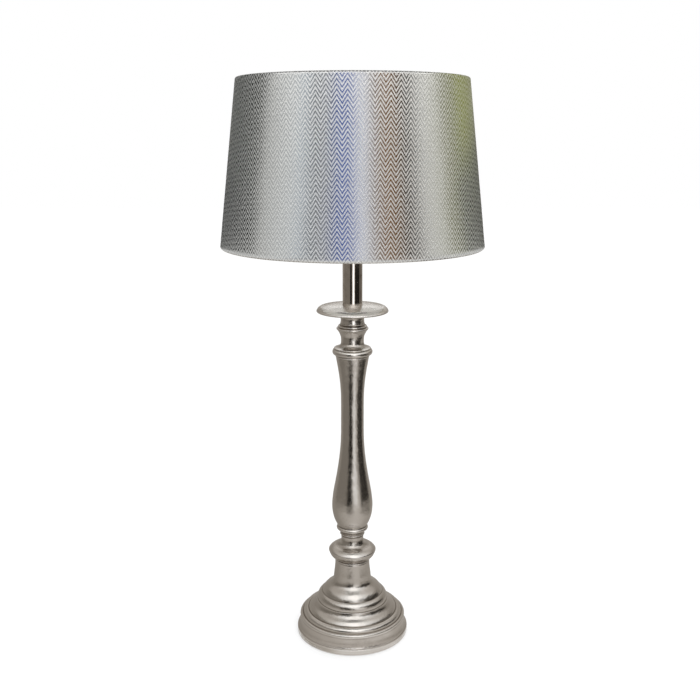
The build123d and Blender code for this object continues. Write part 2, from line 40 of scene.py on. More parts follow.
scene.view_settings.view_transform = "Standard"
print("frame loaded,", len(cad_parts), "nodes")


# camera, at the height and pitch that put the shade and the foot where the picture has them
view = {"place": (-0.0034, -1.259, 0.7146), "pitch": 77.0, "lens": 47.83, "film": 36.0}


def setCamera():
    lens = bpy.data.cameras.new("viewCamera")
    lens.lens = view["lens"]
    lens.sensor_width = view["film"]
    lens.clip_start = 0.01
    camera = bpy.data.objects.new("viewCamera", lens)
    camera.location = view["place"]
    camera.rotation_euler = (math.radians(view["pitch"]), 0, 0)
    scene.collection.objects.link(camera)
    scene.camera = camera


setCamera()


# shader writing: sockets that can be added, multiplied and compared
class Flow:
    def __init__(self, recipe, socket):
        self.recipe = recipe
        self.socket = socket

    def join(self, operation, first, second):
        kinds = {side.socket.type for side in (first, second) if isinstance(side, Flow)}
        if "RGBA" in kinds:
            return self.recipe.tint(operation, first, second)
        if "VECTOR" in kinds:
            return self.recipe.node("ShaderNodeVectorMath", {"operation": operation}, {0: first, 1: second})
        return self.recipe.node("ShaderNodeMath", {"operation": operation}, {0: first, 1: second})

    def maths(self, operation, second=0.0):
        return self.recipe.node("ShaderNodeMath", {"operation": operation}, {0: self, 1: second})

    def __add__(self, other):
        return self.join("ADD", self, other)

    def __radd__(self, other):
        return self.join("ADD", other, self)

    def __sub__(self, other):
        return self.join("SUBTRACT", self, other)

    def __rsub__(self, other):
        return self.join("SUBTRACT", other, self)

    def __mul__(self, other):
        return self.join("MULTIPLY", self, other)

    def __rmul__(self, other):
        return self.join("MULTIPLY", other, self)

    def __truediv__(self, other):
        return self.join("DIVIDE", self, other)

    def __rtruediv__(self, other):
        return self.join("DIVIDE", other, self)

    def fraction(self):
        return self.maths("FRACT")

    def floor(self):
        return self.maths("FLOOR")

    def size(self):
        return self.maths("ABSOLUTE")

    def sine(self):
        return self.maths("SINE")

    def least(self, other):
        return self.maths("MINIMUM", other)

    def ease(self, low, high, start=0.0, end=1.0):
        return self.recipe.node(
            "ShaderNodeMapRange",
            {"interpolation_type": "SMOOTHSTEP"},
            {"Value": self, "From Min": low, "From Max": high, "To Min": start, "To Max": end},
        )


class Recipe:
    def __init__(self, name, world=None):
        self.owner = world or bpy.data.materials.new(name)
        self.owner.use_nodes = True
        self.tree = self.owner.node_tree
        self.tree.nodes.clear()

    def node(self, kind, settings=None, inputs=None, output=0):
        made = self.tree.nodes.new(kind)
        for setting, value in (settings or {}).items():
            setattr(made, setting, value)
        for socket, value in (inputs or {}).items():
            self.feed(made.inputs[socket], value)
        return Flow(self, made.outputs[output]) if len(made.outputs) else made

    def feed(self, socket, value):
        if isinstance(value, Flow):
            self.tree.links.new(value.socket, socket)
        elif hasattr(value, "__len__") and socket.type == "RGBA":
            socket.default_value = (*value[:3], 1.0)
        else:
            socket.default_value = value

    def tint(self, operation, first, second):
        sides = [side if isinstance(side, (Flow, tuple)) else (side,) * 3 for side in (first, second)]
        return self.node(
            "ShaderNodeMix",
            {"data_type": "RGBA", "blend_type": operation},
            {0: 1.0, 6: sides[0], 7: sides[1]},
            output=2,
        )

    def mix(self, first, second, share):
        colours = any(
            isinstance(side, tuple) or isinstance(side, Flow) and side.socket.type == "RGBA"
            for side in (first, second)
        )
        if colours:
            return self.node(
                "ShaderNodeMix", {"data_type": "RGBA"}, {0: share, 6: first, 7: second}, output=2
            )
        return self.node("ShaderNodeMix", {"data_type": "FLOAT"}, {0: share, 2: first, 3: second})

    def place(self):
        return self.node("ShaderNodeTexCoord", output="Object")

    def axes(self, vector):
        split = self.node("ShaderNodeSeparateXYZ", inputs={0: vector})
        return [Flow(self, out) for out in split.socket.node.outputs]

    def point(self, x, y, z=0.0):
        return self.node("ShaderNodeCombineXYZ", inputs={0: x, 1: y, 2: z})

    def stored(self, name, output="Fac"):
        return self.node("ShaderNodeAttribute", {"attribute_name": name}, output=output)

    def grain(self, scale, detail=2.0, roughness=0.5, vector=None):
        return self.node("ShaderNodeTexNoise", inputs={
            "Vector": vector or self.place(), "Scale": scale, "Detail": detail, "Roughness": roughness,
        })

    def relief(self, height, depth, strength=1.0, under=None):
        inputs = {"Height": height, "Distance": depth, "Strength": strength}
        if under:
            inputs["Normal"] = under
        return self.node("ShaderNodeBump", inputs=inputs)

    def finish(self, sockets):
        shader = self.node("ShaderNodeBsdfPrincipled", inputs=sockets)
        self.node("ShaderNodeOutputMaterial", inputs={"Surface": shader})
        return self.owner


# outlines and turning
def arcPoints(start, end, bulge, pitch, strong=0.2):
    # points from start to end, without the first, on an arc that bulges outwards by a share of its length
    # on a strong bulge they lie closer towards both ends
    run, rise = end[0] - start[0], end[1] - start[1]
    length = math.hypot(run, rise)
    steps = max(2, round(length * (1 + 2 * bulge * bulge) / pitch))
    sag = bulge * length
    radius = (length * length / 4 + sag * sag) / (2 * abs(sag)) if sag else 0
    points = []
    for step in range(1, steps + 1):
        share = step / steps
        if abs(bulge) > strong:
            share = 0.5 - 0.5 * math.cos(math.pi * share)
        offset = 0.0
        if sag:
            across = length * (share - 0.5)
            offset = math.sqrt(max(radius * radius - across * across, 0)) - (radius - abs(sag))
            offset = math.copysign(offset, sag)
        points.append((
            start[0] + run * share + rise / length * offset,
            start[1] + rise * share - run / length * offset,
        ))
    return points


def mouldedLine(rows, radius, height, base, pitch=0.0005, flow=0.4):
    # dense outline of a turned piece, from the underside up
    spots = [(row[0] * radius, base + row[1] * height) for row in rows]
    runs = [arcPoints(start, end, row[2], pitch) for start, end, row in zip(spots, spots[1:], rows[1:])]
    points = [spots[0]]
    joints = []
    for run, after in zip(runs, runs[1:] + [[]]):
        points += run
        joints.append((len(points) - 1, min(len(run), len(after))))
    for joint, room in joints:
        easeKink(points, joint, int(room * flow))
    return points


def hermite(s, start, leaving, end, arriving):
    # point at share s of a curve, by its ends and the ways it leaves one and arrives at the other
    return tuple(
        (1 + 2 * s) * (1 - s) ** 2 * start + s * (1 - s) ** 2 * leaving
        + s * s * (3 - 2 * s) * end + s * s * (s - 1) * arriving
    )


def easeKink(points, joint, reach, fewest=4, sharp=0.4, turnMost=1.2):
    # where two long runs meet at a slight angle, one flowing curve takes over
    if reach < fewest:
        return
    spots = np.array(points[joint - reach : joint + reach + 1])
    before, after = spots[1] - spots[0], spots[-1] - spots[-2]
    turn = math.atan2(before[0] * after[1] - before[1] * after[0], float(before @ after))
    near = spots[reach] - spots[reach - 1], spots[reach + 1] - spots[reach]
    bend = math.atan2(near[0][0] * near[1][1] - near[0][1] * near[1][0], float(near[0] @ near[1]))
    if abs(bend) > sharp or abs(turn) > turnMost:
        return
    span = np.hypot(*(spots[-1] - spots[0]))
    before, after = before / np.hypot(*before) * span, after / np.hypot(*after) * span
    for step in range(1, 2 * reach):
        share = step / (2 * reach)
        points[joint - reach + step] = hermite(share, spots[0], before, spots[-1], after)


def splineLine(rows, radius, height, base, pitch=0.0008):
    # smooth line through the rows, like a drawn spline through the same points
    spots = np.array([(row[0] * radius, base + row[1] * height) for row in rows])
    spans = np.hypot(*np.diff(spots, axis=0).T)
    along = np.concatenate([[0], np.cumsum(spans)])
    count = len(spots)
    system, right = np.zeros((count, count)), np.zeros((count, 2))
    slopes = np.diff(spots, axis=0) / spans[:, None]
    for k in range(1, count - 1):
        system[k, k - 1 : k + 2] = spans[k], 2 * (spans[k - 1] + spans[k]), spans[k - 1]
        right[k] = 3 * (spans[k] * slopes[k - 1] + spans[k - 1] * slopes[k])
    system[0, :2] = 2, 1
    right[0] = 3 * slopes[0]
    system[-1, -2:] = 1, 2
    right[-1] = 3 * slopes[-1]
    tangents = np.linalg.solve(system, right)
    points = []
    for t in np.linspace(0, along[-1], round(along[-1] / pitch)):
        k = min(np.searchsorted(along, t, side="right") - 1, count - 2)
        ways = tangents[k : k + 2] * spans[k]
        share = (t - along[k]) / spans[k]
        points.append(hermite(share, spots[k], ways[0], spots[k + 1], ways[1]))
    return points


def easedCorners(points, reach, turn=0.22, keep=0.45):
    # hand finishing: every sharp corner of the outline gets a small round
    eased = [points[0]]
    for before, here, after in zip(points, points[1:], points[2:]):
        first = (here[0] - before[0], here[1] - before[1])
        second = (after[0] - here[0], after[1] - here[1])
        long, short = math.hypot(*first), math.hypot(*second)
        if not long or not short:
            continue
        cross = first[0] * second[1] - first[1] * second[0]
        angle = abs(math.atan2(cross, first[0] * second[0] + first[1] * second[1]))
        if angle < turn:
            eased.append(here)
            continue
        a, b = min(reach, long * keep), min(reach, short * keep)
        start = (here[0] - first[0] / long * a, here[1] - first[1] / long * a)
        end = (here[0] + second[0] / short * b, here[1] + second[1] / short * b)
        for share in (0, 0.33, 0.67, 1):
            eased.append(tuple(
                (1 - share) ** 2 * s + 2 * share * (1 - share) * h + share * share * e
                for s, h, e in zip(start, here, end)
            ))
    eased.append(points[-1])
    return eased


def hollowness(points, reach):
    # how deep each point lies between its neighbours: above 0 in grooves, below 0 on crests
    line = np.array(points)
    along = np.concatenate([[0], np.cumsum(np.hypot(*np.diff(line, axis=0).T))])
    sides = []
    for offset in (-reach, -reach / 2, reach / 2, reach):
        spots = np.clip(along + offset, 0, along[-1])
        sides.append(np.stack([np.interp(spots, along, line[:, k]) for k in range(2)], 1))
    middle = sum(sides) / 4
    way = np.gradient(line, axis=0)
    way /= np.maximum(np.hypot(way[:, 0], way[:, 1]), 1e-9)[:, None]
    outward = np.stack([way[:, 1], -way[:, 0]], 1)
    return ((middle - line) * outward).sum(1) / reach


def stepAngles(segments):
    return np.arange(segments) * 2 * math.pi / segments


def ripple(angles, heights, radius, size, seed, waves=26, spread=(0.7, 1.9)):
    # soft unevenness of something made by hand, about 1 high, with features of about the given size
    source = np.random.default_rng(seed)
    total = np.zeros((len(heights), len(angles)))
    for _ in range(waves):
        way = source.uniform(0, math.pi)
        number = 2 * math.pi / (size * source.uniform(*spread))
        around = round(number * radius * math.cos(way))
        up = number * math.sin(way)
        phase = source.uniform(0, 2 * math.pi)
        total += np.sin(heights[:, None] * up + angles[None, :] * around + phase)
    return total / math.sqrt(waves / 2)


def meshObject(name, points, faces, smooth=True):
    mesh = bpy.data.meshes.new(name)
    mesh.from_pydata(points, [], faces)
    mesh.update()
    mesh.polygons.foreach_set("use_smooth", [smooth] * len(mesh.polygons))
    made = bpy.data.objects.new(name, mesh)
    scene.collection.objects.link(made)
    return made


def spin(name, line, segments, offsets=None, closed=False):
    # surface of revolution; offsets is an array of radial changes for each point and each step round
    line = np.array(line)
    angles = stepAngles(segments)
    radii = np.repeat(line[:, :1], segments, 1)
    if offsets is not None:
        radii = radii + offsets
    heights = np.repeat(line[:, 1:], segments, 1)
    x, y = radii * np.sin(angles), -radii * np.cos(angles)
    points = np.stack([x, y, heights], 2).reshape(-1, 3)
    rows = len(line)
    rings = np.arange(rows if closed else rows - 1)
    ring, step = np.meshgrid(rings, np.arange(segments), indexing="ij")
    upper, beside = (ring + 1) % rows, (step + 1) % segments
    faces = np.stack([
        ring * segments + step,
        ring * segments + beside,
        upper * segments + beside,
        upper * segments + step,
    ], 2).reshape(-1, 4)
    return meshObject(name, points.tolist(), faces.tolist())


def storeValues(piece, name, values):
    layer = piece.data.attributes.new(name, "FLOAT", "POINT")
    layer.data.foreach_set("value", np.asarray(values, np.float32).ravel())


def dress(piece, material):
    piece.data.materials.clear()
    piece.data.materials.append(material)


# finishes
# in the hollows the dark tone stands for patina and painted shade together; the worn highlight lightens the
# crests
nickel = {
    "light": (0.645, 0.615, 0.58), "dark": (0.25, 0.215, 0.18), "wornHighlight": (0.80, 0.775, 0.745),
    "roughness": 0.045, "hollowRoughness": 0.08, "mottle": 0.06,
    "cloud": 38, "grit": 420, "speck": 1500, "pits": 0.00006, "hammer": 0.00016,
    "beats": ((700, 2, 0.5), (330, 1, 0.65), (120, 1, 0.8)),
    "rub": 4, "highlightShare": 0.6, "stainShare": 0.15,
}


def castNickel(name, hollowShadeStrength):
    # antiqued nickel over a hand-finished casting: brown patina with painted shade in the hollows, rubbed
    # wear with a painted highlight on the crests
    r = Recipe(name)
    place = r.place()
    hollow = r.stored("hollow")
    broad = r.grain(nickel["cloud"], 3, 0.6, place)
    fine = r.grain(nickel["grit"], 3, 0.6, place)
    speck = r.grain(nickel["speck"], 2, 0.5, place)
    # painted shade: the hollows are darkened towards the brown tone, partly patina, partly shade drawn into
    # the colour
    hollowShadeAndPatina = (hollow * hollowShadeStrength + broad * 0.5 - 0.28).ease(0.0, 0.9)
    # painted highlight: crests are lightened towards a pale tone, partly rubbed wear, partly the glint of
    # the ridges
    crestHighlightAndWear = (hollow * -nickel["rub"] + broad * 0.6 - 0.3).ease(0.1, 0.8) * nickel["highlightShare"]
    stain = (broad * 0.55 + fine * 0.45).ease(0.52, 0.74) * nickel["stainShare"]
    colour = r.mix(r.mix(nickel["light"], nickel["dark"], hollowShadeAndPatina), nickel["dark"], stain)
    colour = r.mix(colour, nickel["wornHighlight"], crestHighlightAndWear)
    rough = nickel["roughness"] + hollowShadeAndPatina * nickel["hollowRoughness"] + fine * nickel["mottle"]
    beaten = sum(r.grain(scale, detail, 0.5, place) * share for scale, detail, share in nickel["beats"])
    hammered = r.relief(beaten, nickel["hammer"])
    pitted = r.relief(speck.ease(0.35, 0.6), nickel["pits"], 0.5, hammered)
    return r.finish({
        "Base Color": colour, "Metallic": 1.0, "Roughness": rough, "Normal": pitted,
    })


foil = {
    "columns": 82, "rowPitch": 0.0060, "peak": 0.0099, "lineShare": 0.47,
    "thread": 0.00062, "weft": 0.00052, "lineBlur": 0.06, "relief": 0.00002,
    "slubs": (22, 1700), "slubEnds": (0.70, 0.80), "slubTone": 0.08, "tone": 0.96, "cellTone": 0.05,
    "ground": (0.875, 0.872, 0.84), "line": (0.71, 0.71, 0.70),
    "groundRoughness": 0.46, "lineRoughness": 0.13, "groundMetal": 0.83, "lineMetal": 1.0,
}


def foilWeave():
    # silver foil cloth: zigzag floats of glossy foil over a duller foil ground
    r = Recipe("foilWeave")
    u, v, _ = r.axes(r.node("ShaderNodeUVMap", {"uv_map": "weave"}))
    warpCell = (u / foil["thread"]).floor()
    weftCell = (v / foil["weft"]).floor()
    across = warpCell * foil["thread"] / foil["period"]
    along = weftCell * foil["weft"]
    swing = (across.fraction() * 2 - 1).size() * foil["peak"]
    row = ((along + swing) / foil["rowPitch"]).fraction()
    lineEnds = foil["lineShare"] + foil["lineBlur"], foil["lineShare"] - foil["lineBlur"]
    line = (row * 2 - 1).size().ease(*lineEnds)
    cell = r.node(
        "ShaderNodeTexWhiteNoise", {"noise_dimensions": "2D"}, {"Vector": r.point(warpCell, weftCell)}
    )
    slubPlace = r.point(u * foil["slubs"][0], v * foil["slubs"][1])
    slub = r.grain(1.0, 2, 0.5, slubPlace).ease(*foil["slubEnds"])
    cloud = r.grain(14, 3, 0.6)
    tone = foil["tone"] + cell * foil["cellTone"] - slub * foil["slubTone"]
    colour = r.mix(foil["ground"], foil["line"], line) * tone
    rough = r.mix(foil["groundRoughness"], foil["lineRoughness"], line) + cell * 0.02 + cloud * 0.03
    metal = r.mix(foil["groundMetal"], foil["lineMetal"], line)
    warp = (u / foil["thread"] * math.pi).sine().size()
    weft = (v / foil["weft"] * math.pi).sine().size()
    height = r.mix(weft, warp, line) * 0.7 + line * 0.6 + slub * 0.8
    return r.finish({
        "Base Color": colour, "Metallic": metal, "Roughness": rough,
        "Normal": r.relief(height, foil["relief"], 0.5),
    })


# stand: turned castings, each outline as shares of its radius and height, with the bulge of each run
castPieces = {
    "turnedFoot": {
        "node": "foot_casting", "radius": 0.0808, "height": 0.1103, "base": 0.0007, "segments": 252,
        "seed": 11, "size": 0.011, "dent": 0.00009,
        "rows": [
            (0.9960, 0.0000, 0.00), (1.0000, 0.0200, 0.18), (1.0000, 0.0580, 0.00), (0.9925, 0.0730, 0.20),
            (0.9835, 0.0760, 0.00), (0.9855, 0.0850, 0.00), (0.9430, 0.1600, -0.07), (0.9400, 0.2120, 0.00),
            (0.9450, 0.2200, 0.20), (0.9200, 0.2560, 0.28), (0.9050, 0.2580, 0.00), (0.8930, 0.2660, -0.20),
            (0.8130, 0.3190, 0.20), (0.8020, 0.3165, 0.00), (0.7920, 0.3264, -0.15), (0.7160, 0.3740, 0.06),
            (0.6400, 0.4430, -0.10), (0.6260, 0.4480, 0.00), (0.6300, 0.4560, 0.00), (0.5510, 0.5560, 0.16),
            (0.5460, 0.5570, 0.00), (0.4250, 0.6590, 0.08), (0.3390, 0.7750, -0.155),
            (0.3082, 0.9700, -0.02), (0.3020, 1.0000, 0.10),
        ],
    },
    "turnedLowerKnop": {
        "node": "lower_knop", "radius": 0.0337, "height": 0.0545, "base": 0.1110, "segments": 192,
        "seed": 12, "size": 0.009, "dent": 0.00009,
        "rows": [
            (0.7300, 0.0000, 0.00), (0.7300, 0.0380, 0.45), (0.7150, 0.0480, 0.00), (1.0000, 0.2600, 0.12),
            (1.0020, 0.3060, 0.16), (0.7050, 0.4120, 0.12), (0.6850, 0.4170, 0.00), (0.5150, 0.5300, -0.15),
            (0.4790, 0.6450, -0.10), (0.4790, 0.7150, 0.00), (0.5050, 0.7300, 0.00), (0.5050, 0.7650, 0.45),
            (0.5150, 0.7730, 0.00), (0.6030, 0.8620, -0.15), (0.6080, 0.8720, 0.00), (0.6300, 0.9700, 0.34),
            (0.6180, 1.0000, 0.00),
        ],
    },
    "turnedBaluster": {
        "node": "baluster", "radius": 0.0290, "height": 0.2500, "base": 0.1655, "segments": 176,
        "seed": 13, "size": 0.010, "dent": 0.00010,
        "spline": [
            (0.7350, 0.0000), (0.8760, 0.0340), (0.9860, 0.0840), (0.9790, 0.1700), (0.8380, 0.2680),
            (0.6690, 0.3890), (0.5720, 0.5090), (0.5550, 0.6550), (0.5720, 0.8030), (0.6660, 0.9080),
            (0.8050, 1.0000),
        ],
    },
    "turnedUpperKnop": {
        "node": "upper_knop", "radius": 0.0281, "height": 0.0470, "base": 0.4155, "segments": 176,
        "seed": 14, "size": 0.008, "dent": 0.00008,
        "rows": [
            (0.8220, 0.0000, 0.00), (0.8350, 0.0280, 0.30), (0.8350, 0.0450, 0.00), (0.9250, 0.2250, 0.36),
            (0.9050, 0.2320, 0.00), (0.8800, 0.2680, 0.35), (0.8500, 0.2720, 0.00), (0.5660, 0.4400, -0.22),
            (0.5660, 0.5600, 0.00), (0.7450, 0.7950, -0.06), (0.7550, 0.8050, 0.00), (0.7350, 0.8750, 0.38),
            (0.7000, 0.8850, 0.00), (0.6650, 0.9400, 0.35), (0.6000, 1.0000, -0.10),
        ],
    },
    "turnedDripDish": {
        "node": "drip_dish", "radius": 0.0498, "height": 0.0264, "base": 0.4625, "segments": 224,
        "seed": 15, "size": 0.010, "dent": 0.00006,
        "rows": [
            (0.3320, 0.0000, 0.00), (0.3260, 0.1600, 0.00), (0.4700, 0.4640, -0.22),
            (0.9400, 0.5920, -0.05), (0.9980, 0.6450, 0.20), (0.8300, 0.8950, 0.17),
        ],
    },
}
bores = {
    "rod": 0.00505, "socket": 0.00955, "spigot": 0.0095, "depth": 0.003, "gap": 0.00005,
    "tubeSeat": 0.01365, "tubeSeatDepth": 0.002, "crownBulge": 0.03, "crownPitch": 0.0008,
}
handWork = {
    "corner": 0.00035, "grooveReach": 0.0022,
    "dentFrom": 1.2, "deepest": -3, "dentShare": 0.4,
}
footInside = {
    "hollow": [(0.2700, 0.6200), (0.3500, 0.5950), (0.4850, 0.4950), (0.6300, 0.3550), (0.7300, 0.3000)],
    "chamberTop": 0.0247, "chamberRadius": 0.071452, "padRadius": 0.07405, "padTop": 0.0022,
    "inletRadius": 0.00505, "inletHeight": 0.01558, "inletEnds": (0.05, 0.09), "inletSteps": 40,
}


def insideLine(facts, outer):
    # the hidden rest of a casting's outline, from its top end back to its underside
    base, top, rod = facts["base"], facts["base"] + facts["height"], bores["rod"]
    floor, spigotEnd = top - bores["depth"], base - bores["depth"] + bores["gap"]
    socket = [(bores["socket"], top), (bores["socket"], floor), (rod, floor)]
    spigot = [(rod, spigotEnd), (bores["spigot"], spigotEnd), (bores["spigot"], base)]
    if facts["node"] == "foot_casting":
        hollow = [(r * facts["radius"], base + z * facts["height"]) for r, z in footInside["hollow"]]
        return [
            *socket, (rod, hollow[0][1]), *hollow, (hollow[-1][0], footInside["chamberTop"]),
            (footInside["chamberRadius"], footInside["chamberTop"]),
            (footInside["chamberRadius"], footInside["padTop"]),
            (footInside["padRadius"], footInside["padTop"]), (footInside["padRadius"], base),
        ]
    if facts["node"] == "drip_dish":
        seat, seatFloor = bores["tubeSeat"], top - bores["tubeSeatDepth"]
        crown = arcPoints(outer[-1], (seat, top), bores["crownBulge"], bores["crownPitch"])
        return [*crown, (seat, seatFloor), (rod, seatFloor), *spigot]
    return socket + spigot


def turnCasting(name, facts, material):
    room = facts["radius"], facts["height"], facts["base"]
    if "spline" in facts:
        outer = splineLine(facts["spline"], *room)
    else:
        outer = easedCorners(mouldedLine(facts["rows"], *room), handWork["corner"])
    inner = insideLine(facts, outer)
    line = outer + inner
    # of the dish, the crown up to the tube shows too, all but the last points of its hidden seat and bore
    shown = len(outer) + (len(inner) - 6 if facts["node"] == "drip_dish" else 0)
    deep = np.zeros(len(line))
    deep[:shown] = hollowness(line[:shown], handWork["grooveReach"])
    angles = stepAngles(facts["segments"])
    heights = np.array([point[1] for point in line])
    along = np.concatenate([[0], np.cumsum(np.hypot(*np.diff(np.array(line), axis=0).T))])
    waves = ripple(angles, along, facts["radius"] * 0.8, facts["size"], facts["seed"])
    amount = np.zeros(len(line))
    amount[2 : shown - 2] = facts["dent"]
    dents = (waves - handWork["dentFrom"]).clip(handWork["deepest"], 0) * handWork["dentShare"]
    offsets = dents * amount[:, None]
    piece = spin(name, line, facts["segments"], offsets, closed=True)
    storeValues(piece, "hollow", np.repeat(deep, facts["segments"]))
    dress(piece, material)
    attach(piece, "lamp")
    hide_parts(facts["node"])
    print("turned", name, len(piece.data.vertices), "points,", round(heights.max() * 1000, 1), "mm")
    return piece


# the numbers set how strongly patina and painted shade darken the hollows; the knops get more
standFinish, knopFinish = castNickel("castNickel", 2.8), castNickel("knopNickel", 4.2)
turned = {
    name: turnCasting(name, facts, knopFinish if "Knop" in name else standFinish)
    for name, facts in castPieces.items()
}


def boreInlet(foot):
    # hole for the flex in the back of the foot
    points, faces = [], []
    radius, steps = footInside["inletRadius"], footInside["inletSteps"]
    for end in footInside["inletEnds"]:
        for angle in stepAngles(steps):
            points.append((
                radius * math.cos(angle), end, footInside["inletHeight"] + radius * math.sin(angle),
            ))
    faces.append(list(range(steps)))
    faces.append(list(range(2 * steps - 1, steps - 1, -1)))
    for step in range(steps):
        beside = (step + 1) % steps
        faces.append([step, step + steps, beside + steps, beside])
    cutter = meshObject("inletCutter", points, faces)
    change = foot.modifiers.new("inlet", "BOOLEAN")
    change.operation = "DIFFERENCE"
    change.solver = "EXACT"
    change.object = cutter
    result = foot.evaluated_get(bpy.context.evaluated_depsgraph_get())
    cut = bpy.data.meshes.new_from_object(result)
    foot.modifiers.clear()
    foot.data = cut
    bpy.data.objects.remove(cutter)


boreInlet(turned["turnedFoot"])
print("inlet bored")

# candle tube
candle = {
    "radius": 0.0136, "wall": 0.0013, "bottom": 0.4869, "length": 0.0790, "edge": 0.0004,
    "segments": 128, "rows": 60, "seed": 21, "size": 0.018, "dent": 0.00002,
    "light": (0.62, 0.575, 0.53), "brown": (0.38, 0.33, 0.285), "roughness": 0.05,
    "lines": 0.00001, "lineGrain": 900, "lineStretch": 0.02, "cloudGrain": 90,
    "waves": 0.00005, "waveGrain": 120,
}


def drawnTube():
    # plated tube: fine lines along its length and a few brown spots
    r = Recipe("platedTube")
    place = r.place()
    x, y, z = r.axes(place)
    drawn = r.grain(candle["lineGrain"], 2, 0.5, r.point(x, y, z * candle["lineStretch"]))
    cloud = r.grain(candle["cloudGrain"], 3, 0.6, place)
    colour = r.mix(candle["light"], candle["brown"], cloud.ease(0.45, 0.85))
    rough = candle["roughness"] + drawn * 0.05 + cloud * 0.03
    lines = r.relief(drawn, candle["lines"], 0.25)
    wavy = r.relief(r.grain(candle["waveGrain"], 1, 0.5, place), candle["waves"], 1.0, lines)
    return r.finish({"Base Color": colour, "Metallic": 1.0, "Roughness": rough, "Normal": wavy})


def makeCandleTube():
    radius, edge, bottom, rows = candle["radius"], candle["edge"], candle["bottom"], candle["rows"]
    bore, top = radius - candle["wall"], bottom + candle["length"]
    line = [(radius, z) for z in np.linspace(bottom, top - edge, rows)]
    line += [(radius - edge, top), (bore, top), (bore, bottom)]
    heights = np.array([point[1] for point in line])
    waves = ripple(stepAngles(candle["segments"]), heights, radius, candle["size"], candle["seed"])
    offsets = waves.clip(-2, 0) * candle["dent"]
    offsets[rows:] = 0
    piece = spin("candleTube", line, candle["segments"], offsets, closed=True)
    dress(piece, drawnTube())
    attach(piece, "lamp")
    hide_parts("candle_tube")


makeCandleTube()
print("tube drawn")

# felt under the foot
felt = {
    "radius": 0.0740, "thickness": 0.0022, "segments": 192, "edge": 0.0005, "bevel": 0.00015,
    "middle": 0.0004, "rodHole": 0.0052, "holeFloor": 0.00132, "rowsBelow": 60, "rowsAbove": 40,
    "nap": 0.00004, "napSize": 0.006, "seed": 31,
    "dark": (0.030, 0.030, 0.031), "light": (0.085, 0.083, 0.080), "fibre": 0.0005,
    "fibreGrain": 1900, "clumpGrain": 260, "roughness": 0.92, "sheen": 0.35, "sheenRoughness": 0.5,
}


def feltFinish():
    r = Recipe("pressedFelt")
    place = r.place()
    fibre = r.grain(felt["fibreGrain"], 4, 0.7, place)
    clump = r.grain(felt["clumpGrain"], 3, 0.6, place)
    fuzz = fibre * 0.6 + clump * 0.4
    return r.finish({
        "Base Color": r.mix(felt["dark"], felt["light"], fuzz.ease(0.35, 0.72)),
        "Roughness": felt["roughness"] + fibre * 0.06,
        "Sheen Weight": felt["sheen"], "Sheen Roughness": felt["sheenRoughness"],
        "Normal": r.relief(fuzz, felt["fibre"], 0.9),
    })


def makeFelt():
    radius, thickness, edge, bevel = felt["radius"], felt["thickness"], felt["edge"], felt["bevel"]
    middle, hole, sunk = felt["middle"], felt["rodHole"], felt["holeFloor"]
    line = [(r, 0.0) for r in np.linspace(middle, radius - edge, felt["rowsBelow"])]
    line += [(radius - bevel, bevel), (radius, edge)]
    line += [(radius, thickness - edge), (radius - bevel, thickness - bevel)]
    line += [(r, thickness) for r in np.linspace(radius - edge, hole, felt["rowsAbove"])]
    line += [(hole, sunk), (middle, sunk)]
    reaches = np.array([point[0] for point in line])
    piece = spin("feltPad", line, felt["segments"], closed=True)
    nap = ripple(stepAngles(felt["segments"]), reaches, radius, felt["napSize"], felt["seed"])
    nap = nap.clip(0, 2) * felt["nap"]
    points = np.array([vertex.co[:] for vertex in piece.data.vertices])
    underside = points[:, 2] < 1e-6
    points[:, 2] += np.where(underside, nap.ravel(), 0)
    piece.data.vertices.foreach_set("co", points.ravel())
    piece.data.update()
    dress(piece, feltFinish())
    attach(piece, "lamp")
    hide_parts("base_pad")


makeFelt()
print("felt laid")

# shade: foil cloth rolled over two wire rings
shade = {
    "bottomRadius": 0.1778, "topRadius": 0.1523, "middleRadius": 0.165, "bottom": 0.56785, "height": 0.2195,
    "thickness": 0.0006, "wire": 0.0016, "slack": 0.0008, "hem": 0.0070, "seam": 0.012, "lap": 0.0004,
    "segments": 520, "rows": 50, "hemSteps": 8, "rollSteps": 15,
    "sway": 0.00020, "swaySize": 0.085, "swayMost": 0.0004, "seed": 41,
}


def shadeRadius(height):
    share = height / shade["height"]
    return shade["bottomRadius"] + (shade["topRadius"] - shade["bottomRadius"]) * share


def shadeLine():
    # outline of the cloth: in at the lower hem, out round the wire, up, round the upper wire and in
    roll = shade["wire"] + shade["slack"] + shade["thickness"]
    inside = roll - shade["thickness"]
    low, high = roll, shade["height"] - roll
    lowR, highR = shadeRadius(low) - roll, shadeRadius(high) - roll
    lean = (shade["bottomRadius"] - shade["topRadius"]) / shade["height"]
    z = shade["bottom"]

    def layer(reach):
        down, up = (shade["hem"], 0), (0, shade["hem"])
        hems = [np.linspace(*ends, shade["hemSteps"]) for ends in (down, up)]
        turns = np.linspace(0, math.pi, shade["rollSteps"])[1:-1]
        line = [(lowR - reach - lean * rise, z + low + rise) for rise in hems[0]]
        for turn in turns + math.pi:
            line.append((lowR + reach * math.cos(turn), z + low + reach * math.sin(turn)))
        for rise in np.linspace(0, high - low, shade["rows"]):
            line.append((lowR + reach - lean * rise, z + low + rise))
        for turn in turns:
            line.append((highR + reach * math.cos(turn), z + high + reach * math.sin(turn)))
        line += [(highR - reach + lean * fall, z + high - fall) for fall in hems[1]]
        return line

    return layer(roll), layer(inside)


